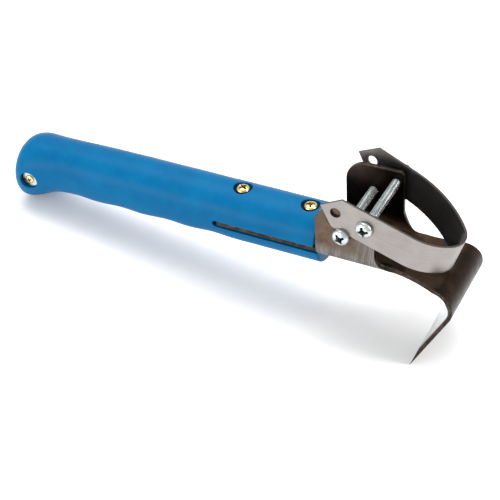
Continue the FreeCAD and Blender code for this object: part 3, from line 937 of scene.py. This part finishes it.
def make_washer(node, at, start, way, thick, hole, material):
    """A stamped washer with its edges rolled a little."""
    lip = WASHER_LIP
    outer = WASHER_RADIUS
    profile = (
        (hole, lip),
        (hole + lip, 0.0),
        (outer - lip, 0.0),
        (outer, lip),
        (outer, thick - lip),
        (outer - lip, thick),
        (hole + lip, thick),
        (hole, thick - lip),
    )
    rings = [circle(radius, height, ROUND_SEGMENTS) for radius, height in profile]
    mesh = ring_mesh(f"{node}_ring", rings, facing(at, start, way))
    shade(mesh, 30.0)
    new_piece(f"{node}_ring", mesh, material, "tool", [node])


# ---------------------------------------------------------------- materials


class Nodes:
    """Short ways to add and link the shader nodes of one material."""

    def __init__(self, name):
        self.material = bpy.data.materials.new(name)
        self.material.use_nodes = True
        self.tree = self.material.node_tree
        self.tree.nodes.clear()
        out = self.tree.nodes.new("ShaderNodeOutputMaterial")
        self.shader = self.tree.nodes.new("ShaderNodeBsdfPrincipled")
        self.link(self.shader.outputs["BSDF"], out.inputs["Surface"])
        self.place = self.tree.nodes.new("ShaderNodeTexCoord").outputs["Object"]

    def link(self, source, target):
        self.tree.links.new(source, target)

    def set(self, name, value):
        """One value all over, on the shader's own socket."""
        self.shader.inputs[name].default_value = value

    def feed(self, name, source):
        """A value that changes over the surface."""
        self.link(source, self.shader.inputs[name])

    def moved(self, scale, turn):
        """The point, turned and stretched for a grain that runs one way."""
        node = self.tree.nodes.new("ShaderNodeMapping")
        self.link(self.place, node.inputs["Vector"])
        node.inputs["Scale"].default_value = scale
        node.inputs["Rotation"].default_value = turn
        return node.outputs["Vector"]

    def noise(self, vector, scale, detail, rough=0.5, distort=0.0):
        node = self.tree.nodes.new("ShaderNodeTexNoise")
        self.link(vector, node.inputs["Vector"])
        node.inputs["Scale"].default_value = scale
        node.inputs["Detail"].default_value = detail
        node.inputs["Roughness"].default_value = rough
        node.inputs["Distortion"].default_value = distort
        return node.outputs["Fac"]

    def cells(self, scale):
        """How far the point is from the nearest of many scattered specks."""
        node = self.tree.nodes.new("ShaderNodeTexVoronoi")
        self.link(self.place, node.inputs["Vector"])
        node.inputs["Scale"].default_value = scale
        return node.outputs["Distance"]

    def ramp(self, source, *stops):
        """Colours between stops, each a value and the colour there."""
        node = self.tree.nodes.new("ShaderNodeValToRGB")
        ramp = node.color_ramp.elements
        while len(ramp) < len(stops):
            ramp.new(0.5)
        for element, (position, colour) in zip(ramp, stops):
            element.position = position
            element.color = (*colour, 1.0)
        self.link(source, node.inputs["Fac"])
        return node.outputs["Color"]

    def maths(self, operation, first, second):
        node = self.tree.nodes.new("ShaderNodeMath")
        node.operation = operation
        for number, value in enumerate((first, second)):
            if isinstance(value, float):
                node.inputs[number].default_value = value
            else:
                self.link(value, node.inputs[number])
        return node.outputs[0]

    def times(self, first, second):
        return self.maths("MULTIPLY", first, second)

    def spread(self, value, low, high, new_low=0.0, new_high=1.0):
        """The value, eased from new_low to new_high as it goes from low to high."""
        node = self.tree.nodes.new("ShaderNodeMapRange")
        node.interpolation_type = "SMOOTHSTEP"
        self.link(value, node.inputs["Value"])
        node.inputs["From Min"].default_value = low
        node.inputs["From Max"].default_value = high
        node.inputs["To Min"].default_value = new_low
        node.inputs["To Max"].default_value = new_high
        return node.outputs["Result"]

    def mix(self, share, first, second):
        """The first colour, covered by a share of the second."""
        node = self.tree.nodes.new("ShaderNodeMix")
        node.data_type = "RGBA"
        self.link(share, node.inputs["Factor"])
        for socket, value in ((node.inputs[6], first), (node.inputs[7], second)):
            if isinstance(value, tuple):
                socket.default_value = (*value, 1.0)
            else:
                self.link(value, socket)
        return node.outputs[2]

    def axis(self, vector, letter):
        node = self.tree.nodes.new("ShaderNodeSeparateXYZ")
        self.link(vector, node.inputs[0])
        return node.outputs[letter]

    def tool_place(self):
        """The point in the tool's own frame, in millimetres."""
        node = self.tree.nodes.new("ShaderNodeMapping")
        node.vector_type = "POINT"
        back = TOOL.inverted()
        self.link(self.place, node.inputs["Vector"])
        node.inputs["Scale"].default_value = (1 / MM, 1 / MM, 1 / MM)
        node.inputs["Rotation"].default_value = back.to_euler()
        node.inputs["Location"].default_value = back.translation
        return node.outputs["Vector"]

    def kept(self, name):
        """A number kept on the mesh, such as how near a point is to the plate's rim."""
        node = self.tree.nodes.new("ShaderNodeAttribute")
        node.attribute_name = name
        return node.outputs["Fac"]

    def bump(self, height, strength, distance, under=None):
        node = self.tree.nodes.new("ShaderNodeBump")
        node.inputs["Strength"].default_value = strength
        node.inputs["Distance"].default_value = distance
        self.link(height, node.inputs["Height"])
        if under is not None:
            self.link(under, node.inputs["Normal"])
        return node.outputs["Normal"]


def grip_plastic():
    """Moulded blue plastic: cloudy colour, faint long scuffs, painted shade in its recesses, and
    an orange-peel skin.
    """
    n = Nodes("grip_plastic")
    broad = n.noise(n.place, 38.0, 3.0, 0.55)
    cloud = n.noise(n.place, 160.0, 4.0, 0.6)
    colour = n.ramp(broad, (0.3, GRIP_DEEP), (0.7, GRIP_MAIN))
    colour = n.mix(n.spread(cloud, 0.45, 0.75, 0.0, 0.3), colour, GRIP_CLOUD)
    scuff = n.noise(n.moved((120.0, 900.0, 900.0), (0.2, -TILT, 0.4)), 1.0, 5.0, 0.6)
    scuffed = n.spread(scuff, 0.66, 0.74)
    colour = n.mix(n.times(scuffed, 0.10), colour, GRIP_SCUFF)
    # Painted shade: the slit and counterbores are darkened by how deep each point lies in them.
    colour = n.mix(n.times(n.kept("sunk"), 0.92), colour, GRIP_RECESS_SHADE)
    n.feed("Base Color", colour)
    rough = n.spread(cloud, 0.3, 0.7, 0.34, 0.46)
    n.feed("Roughness", n.maths("ADD", rough, n.times(scuffed, 0.12)))
    n.set("Specular IOR Level", 0.06)
    n.set("Coat Weight", 0.02)
    n.set("Coat Roughness", 0.2)
    peel = n.bump(n.noise(n.place, 520.0, 3.0, 0.5), 0.10, 0.0004)
    grit = n.noise(n.place, 3200.0, 2.0, 0.6)
    n.feed("Normal", n.bump(grit, 0.06, 0.00012, peel))
    return n.material


def blued_steel():
    """The plate's oxide skin, ground off in places, with painted shade in the channel and a
    painted sheen high on the back flange.
    """
    n = Nodes("blued_steel")
    tool = n.tool_place()
    across = n.axis(tool, "X")
    depth = n.axis(tool, "Y")
    height = n.axis(tool, "Z")
    side = n.kept("side")
    under = n.spread(side, -0.5, -0.9)

    cloud = n.noise(n.place, 45.0, 5.0, 0.6, 0.4)
    stain = n.noise(n.place, 190.0, 5.0, 0.65)
    colour = n.ramp(cloud, (0.28, OXIDE_DARK), (0.5, OXIDE), (0.72, OXIDE_LIGHT))
    colour = n.mix(n.spread(stain, 0.5, 0.75, 0.0, 0.5), colour, OXIDE_STAIN)

    # Painted shade: the inside of the channel is darkened, and a painted brown sheen, a
    # reflection, lies high on the back flange.
    inside = n.times(n.spread(height, 3.0, 7.0), n.spread(side, 0.5, 0.9))
    colour = n.mix(n.times(inside, 0.75), colour, CHANNEL_SHADE)
    # Painted reflection: a brown sheen high on the back flange, towards the handle.
    painted_sheen = n.times(n.spread(height, 20.0, 34.0), n.spread(across, 30.0, 8.0))
    painted_sheen = n.times(painted_sheen, n.spread(depth, 15.0, 18.0))
    colour = n.mix(n.times(painted_sheen, n.spread(cloud, 0.3, 0.6, 0.3, 1.0)), colour, BACK_FLANGE_SHEEN)

    # The front flange's outside is a lighter brown, with grey grinding streaks at its foot and
    # right edge; at the foot, over the bend, their grey is also a painted reflection of the floor.
    front = n.times(under, n.spread(depth, -15.0, -18.0))
    front = n.times(front, n.spread(height, -3.0, -1.0))
    colour = n.mix(front, colour, n.ramp(stain, (0.3, FLANGE_BROWN), (0.7, FLANGE_TAN)))
    strokes = n.noise(n.moved((2200.0, 60.0, 50.0), (0, TILT, 0)), 1.0, 5.0, 0.75)
    # Painted reflection: the grey is strongest low down, over the bend.
    low = n.spread(height, 13.0, 4.0)
    right = n.times(n.spread(across, 24.0, 36.0), 0.8)
    ground = n.times(n.maths("MAXIMUM", low, right), front)
    streaks_and_sheen = n.ramp(strokes, (0.38, GROUND_DARK), (0.5, GROUND_GREY_AND_SHEEN), (0.64, GROUND_BRIGHT_AND_SHEEN))
    colour = n.mix(ground, colour, streaks_and_sheen)

    # The inside of the blade is ground bright down to its edge.
    blade = n.times(n.spread(height, -7.0, -12.0), under)
    scratch = n.noise(n.moved((70.0, 1500.0, 70.0), (0, TILT, 0)), 1.0, 5.0, 0.6)
    bright = n.ramp(scratch, (0.3, BLADE_GREY), (0.7, BLADE_BRIGHT))
    speck = n.spread(n.cells(130.0), 0.10, 0.04)
    bright = n.mix(n.times(speck, 0.7), bright, BLADE_SPECK)
    colour = n.mix(blade, colour, bright)

    # The rim is dark scale, rubbed to the metal here and there.
    rim = n.kept("rim")
    chips = n.noise(n.place, 330.0, 4.0, 0.6)
    colour = n.mix(n.times(rim, 0.6), colour, RIM_SCALE)
    worn = n.times(n.spread(rim, 0.3, 1.0), n.spread(chips, 0.4, 0.75))
    colour = n.mix(n.times(worn, 0.45), colour, RIM_WORN)
    n.feed("Base Color", colour)

    n.set("Metallic", 0.88)
    rough = n.spread(stain, 0.3, 0.7, 0.27, 0.42)
    rough = n.maths("ADD", rough, n.times(ground, 0.10))
    n.feed("Roughness", n.maths("SUBTRACT", rough, n.times(blade, 0.08)))
    n.set("Specular IOR Level", 0.3)
    brushed = n.noise(n.moved((1400.0, 90.0, 90.0), (0, TILT, 0)), 1.0, 4.0, 0.6)
    first = n.bump(brushed, 0.10, 0.0002)
    pits = n.noise(n.place, 900.0, 4.0, 0.7)
    n.feed("Normal", n.bump(pits, 0.10, 0.0002, first))
    return n.material


def spring_steel():
    """The loop's strip: its outside is brushed, the rest keeps its temper colour, and its tabs are
    lightened with painted light.
    """
    n = Nodes("spring_steel")
    grain = n.noise(n.moved((40.0, 40.0, 2600.0), (0, TILT, 0)), 1.0, 4.0, 0.65)
    cloud = n.noise(n.place, 70.0, 5.0, 0.6, 0.3)
    light = n.ramp(cloud, (0.3, STRIP_GREY), (0.7, STRIP_PALE))
    light = n.mix(n.spread(grain, 0.35, 0.65, 0.0, 0.5), light, STRIP_GRAIN)
    specks = n.spread(n.cells(330.0), 0.12, 0.05)
    patchy = n.spread(n.noise(n.place, 120.0, 2.0), 0.5, 0.62)
    light = n.mix(n.times(n.times(specks, patchy), 0.6), light, STRIP_SPECK)

    dark = n.ramp(cloud, (0.3, TEMPER_BLACK), (0.55, TEMPER_BROWN), (0.75, TEMPER_BLUE))
    # Painted light: the strip's tabs, towards the handle, are lightened where they stand above the
    # flange in the light.
    tab = n.spread(n.axis(n.tool_place(), "X"), 30.0, 14.0)
    dark = n.mix(tab, dark, TAB_PAINTED_LIGHT)
    colour = n.mix(n.spread(n.kept("side"), 0.2, 0.9), dark, light)
    colour = n.mix(n.times(n.kept("rim"), 0.8), colour, STRIP_RIM)
    n.feed("Base Color", colour)
    n.set("Metallic", 0.9)
    n.feed("Roughness", n.spread(grain, 0.3, 0.7, 0.30, 0.44))
    n.set("Anisotropic", 0.35)
    first = n.bump(grain, 0.09, 0.00015)
    dents = n.noise(n.place, 260.0, 3.0, 0.5)
    n.feed("Normal", n.bump(dents, 0.05, 0.0004, first))
    return n.material


def plated(name, dark, light, rough_low, rough_high):
    """Bright plating with fine turning marks, small dull spots, and painted shade in its recesses.
    """
    n = Nodes(name)
    cloud = n.noise(n.place, 240.0, 5.0, 0.6)
    fine = n.noise(n.place, 1500.0, 3.0, 0.6)
    dull = tuple(c * 0.55 for c in dark)
    recess_shade = tuple(c * 0.05 for c in dark)
    colour = n.ramp(cloud, (0.3, dark), (0.7, light))
    colour = n.mix(n.spread(fine, 0.55, 0.75, 0.0, 0.4), colour, dull)
    # Painted shade: the cross recess and the thread roots are darkened; the whole shank is also a
    # little darker.
    sunk = n.maths("POWER", n.kept("sunk"), 0.6)
    colour = n.mix(n.times(sunk, 0.94), colour, recess_shade)
    n.feed("Base Color", colour)
    n.set("Metallic", 1.0)
    n.feed("Roughness", n.spread(cloud, 0.3, 0.7, rough_low, rough_high))
    first = n.bump(fine, 0.08, 0.0001)
    n.feed("Normal", n.bump(cloud, 0.05, 0.0002, first))
    return n.material


def floor_paper():
    """White paper with a hardly seen grain."""
    n = Nodes("floor_paper")
    grain = n.noise(n.place, 60.0, 4.0, 0.6)
    n.feed("Base Color", n.ramp(grain, (0.3, PAPER_DARK), (0.7, PAPER_LIGHT)))
    n.set("Roughness", 0.9)
    n.set("Specular IOR Level", 0.1)
    return n.material


# ---------------------------------------------------------------- build

PLASTIC = grip_plastic()
BLUED = blued_steel()
SPRING = spring_steel()
ZINC = plated("zinc_steel", ZINC_DARK, ZINC_LIGHT, 0.20, 0.36)
YELLOW = plated("yellow_zinc", YELLOW_DARK, YELLOW_LIGHT, 0.18, 0.34)

make_handle(PLASTIC)
make_frame(BLUED)
make_band(SPRING)

for node, at, length, turned in (
    ("clamp_bolt", CLAMP_AT, CLAMP_LENGTH, 31.0),
    ("pivot_bolt", PIVOT_AT, PIVOT_LENGTH, 12.0),
):
    make_screw(node, BOLT, length, turned, facing(at, -BOLT_SEAT, -1), ZINC)

for node, turned in (("tang_screw_near", 20.0), ("tang_screw_far", 62.0)):
    place = TOOL @ Matrix.Translation((SCREWS_AT[node], 0, COUNTERBORE_FLOOR))
    make_screw(node, GRIP_SCREW, GRIP_SCREW_LENGTH, turned, place, YELLOW)

place = facing(BUTT_RECESS, -(BUTT_FLOOR + BUTT_WASHER_THICK), -1)
make_screw("butt_screw", BUTT_SCREW, BUTT_SCREW_LENGTH, 24.0, place, YELLOW)
make_washer(
    "butt_washer", BUTT_RECESS, -BUTT_FLOOR, -1, BUTT_WASHER_THICK, BUTT_WASHER_HOLE, ZINC
)
make_washer("pivot_washer", PIVOT_AT, PIVOT_WASHER_AT, 1, WASHER_THICK, WASHER_HOLE, ZINC)
make_nut("pivot_nut", PIVOT_AT, PIVOT_NUT_AT, ZINC)
make_nut("pivot_inner_nut", PIVOT_AT, FRONT_NUT_AT, ZINC)
make_nut("clamp_nut", CLAMP_AT, FRONT_NUT_AT, ZINC)


# ---------------------------------------------------------------- floor, light and camera


def make_floor():
    """A square sheet of paper, in metres, a hair below what stands on it."""
    side = 3.0
    count = 24
    below = 0.0002
    vertices = []
    faces = []
    for row in range(count + 1):
        for column in range(count + 1):
            x = side * (column / count - 0.5)
            y = side * (row / count - 0.5)
            vertices.append((x, y, -below))
    for row in range(count):
        for column in range(count):
            a = row * (count + 1) + column
            faces.append((a, a + 1, a + count + 2, a + count + 1))
    mesh = mesh_from("floor", vertices, faces, Matrix.Identity(4))
    mesh.materials.append(floor_paper())
    floor = bpy.data.objects.new("floor", mesh)
    bpy.context.scene.collection.objects.link(floor)


def add_panel(name, place, aim, size, watts):
    """A white light panel of this size, turned to its aim."""
    lamp = bpy.data.lights.new(name, "AREA")
    lamp.shape = "RECTANGLE"
    lamp.size, lamp.size_y = size
    lamp.energy = watts
    panel = bpy.data.objects.new(name, lamp)
    panel.location = place
    way = Vector(aim) - Vector(place)
    panel.rotation_euler = way.to_track_quat("-Z", "Y").to_euler()
    bpy.context.scene.collection.objects.link(panel)


def make_camera():
    """The camera's place, from the angles it looks along, its distance and its aim."""
    azimuth = math.radians(23.23)
    elevation = math.radians(42.02)
    roll = math.radians(4.603)
    distance = 0.8
    aim = Vector((0.02154, -0.02764, 0.03709))
    back = Vector(
        (
            math.sin(azimuth) * math.cos(elevation),
            -math.cos(azimuth) * math.cos(elevation),
            math.sin(elevation),
        )
    )
    right = (-back).cross(Vector((0, 0, 1))).normalized()
    up = right.cross(-back)
    turned_right = math.cos(roll) * right + math.sin(roll) * up
    turned_up = -math.sin(roll) * right + math.cos(roll) * up
    data = bpy.data.cameras.new("camera")
    data.sensor_width = 36.0
    data.lens = 106.33
    data.clip_start = 0.01
    data.clip_end = 20.0
    camera = bpy.data.objects.new("camera", data)
    matrix = Matrix((turned_right, turned_up, back)).transposed().to_4x4()
    matrix.translation = aim + back * distance
    camera.matrix_world = matrix
    bpy.context.scene.collection.objects.link(camera)
    bpy.context.scene.camera = camera


def make_world():
    """Even white light from all round."""
    world = bpy.data.worlds.new("studio")
    world.use_nodes = True
    background = world.node_tree.nodes["Background"]
    background.inputs["Color"].default_value = (1.0, 1.0, 1.0, 1.0)
    background.inputs["Strength"].default_value = 0.82
    bpy.context.scene.world = world


make_floor()
make_world()
add_panel("key", place=(-0.3, 0.35, 1.1), aim=(0.0, 0.0, 0.03), size=(1.3, 0.7), watts=11.0)
add_panel("left", place=(-0.5, -0.9, 0.3), aim=(0.0, 0.0, 0.03), size=(0.9, 0.4), watts=6.0)
add_panel("right", place=(0.9, 0.2, 0.6), aim=(0.08, 0.0, 0.03), size=(0.35, 0.6), watts=8.0)
bpy.context.scene.view_settings.view_transform = "Standard"
bpy.context.scene.view_settings.look = "None"
make_camera()
